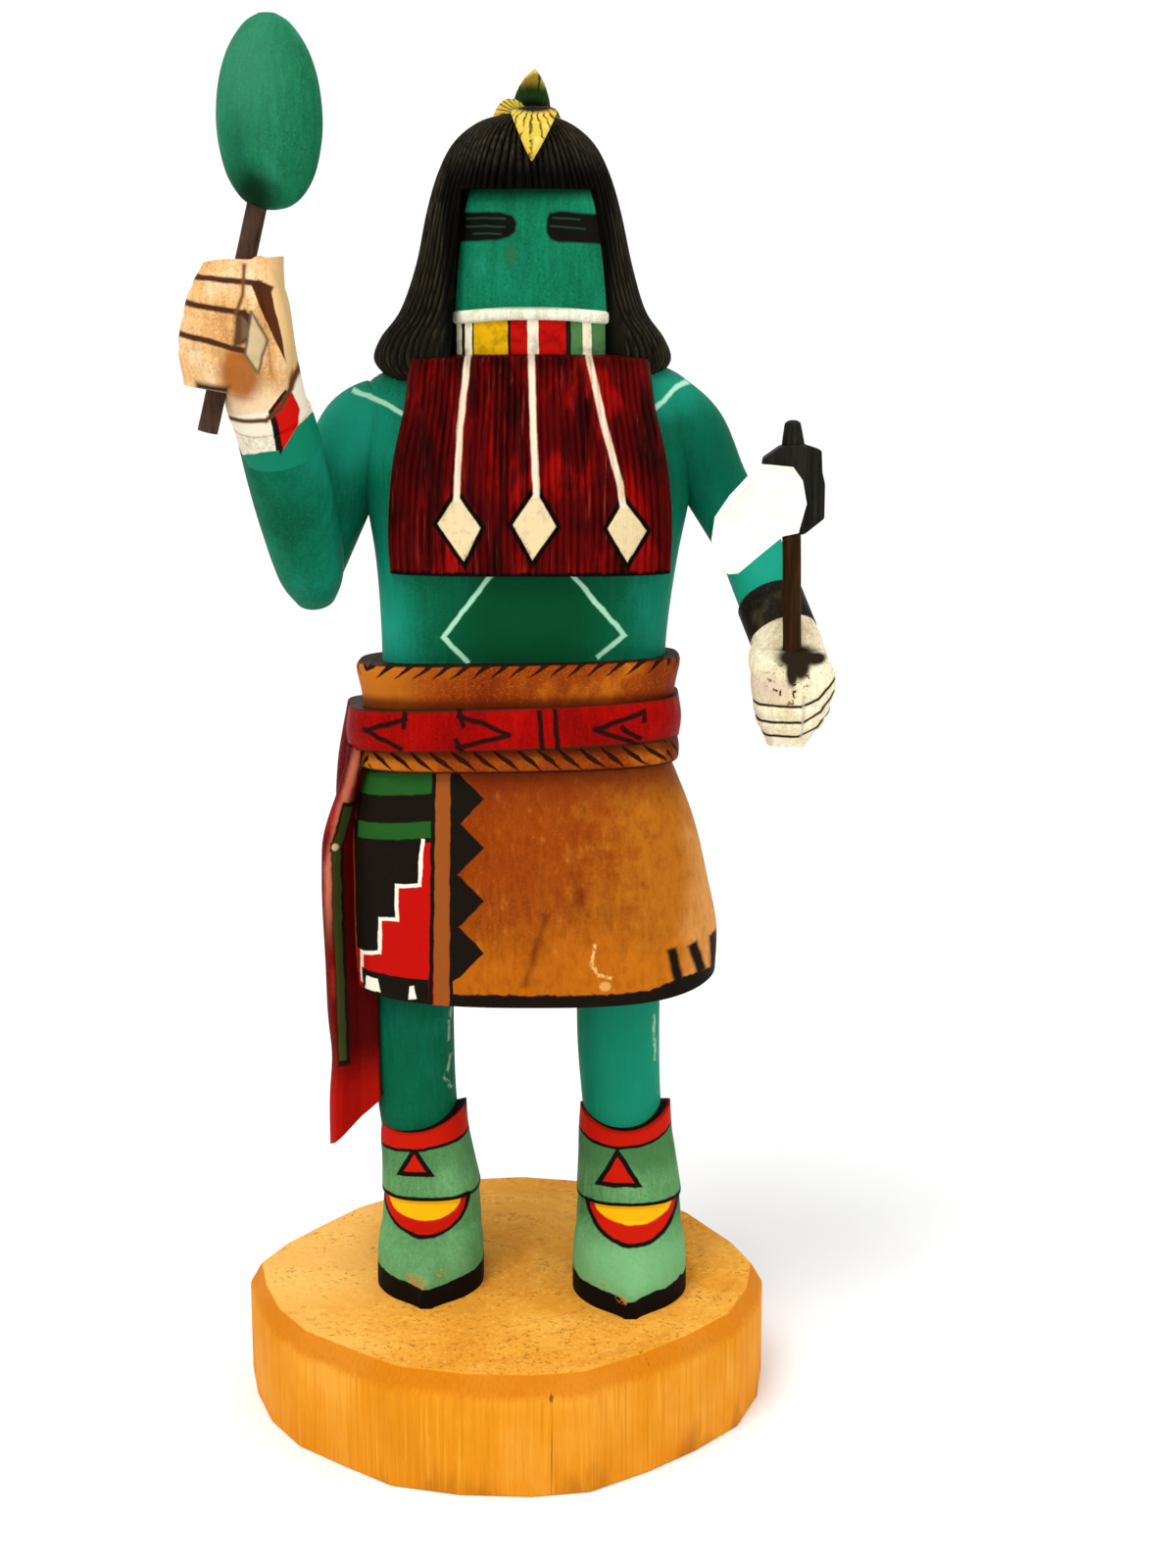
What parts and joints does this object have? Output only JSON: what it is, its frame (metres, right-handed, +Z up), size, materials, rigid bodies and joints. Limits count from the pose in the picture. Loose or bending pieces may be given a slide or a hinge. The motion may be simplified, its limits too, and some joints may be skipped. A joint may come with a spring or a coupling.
{
  "type": "kachina doll",
  "caption": "Carved and painted wooden doll of a long-haired masked dancer in a kilt, holding a gourd rattle and a hatchet, standing on a round wooden base.",
  "frame": {"origin": "centre of the base's underside", "axes": "+Z up through the figure, and the figure faces -Y"},
  "size_m": [0.1138, 0.101, 0.2567],
  "materials": {
    "base": "bare sanded wood, end grain on top",
    "figure": "matte paint on carved wood",
    "rattle_stick": "dark stained",
    "rattle_gourd": "matte turquoise paint",
    "hatchet_handle": "dark stained",
    "hatchet_blade": "matte white paint",
    "feather_front": "yellow paint with dark strokes",
    "feather_back": "yellow paint with dark strokes",
    "feather_left": "yellow paint with dark strokes",
    "feather_right": "yellow paint with dark strokes"
  },
  "bodies": {
    "root": {"base": "base", "figure": "figure", "rattle_stick": "rattle_stick", "rattle_gourd": "rattle_gourd", "hatchet_handle": "hatchet_handle", "hatchet_blade": "hatchet_blade", "feather_front": "feather_front", "feather_back": "feather_back", "feather_left": "feather_left", "feather_right": "feather_right"}
  },
  "joints": []
}
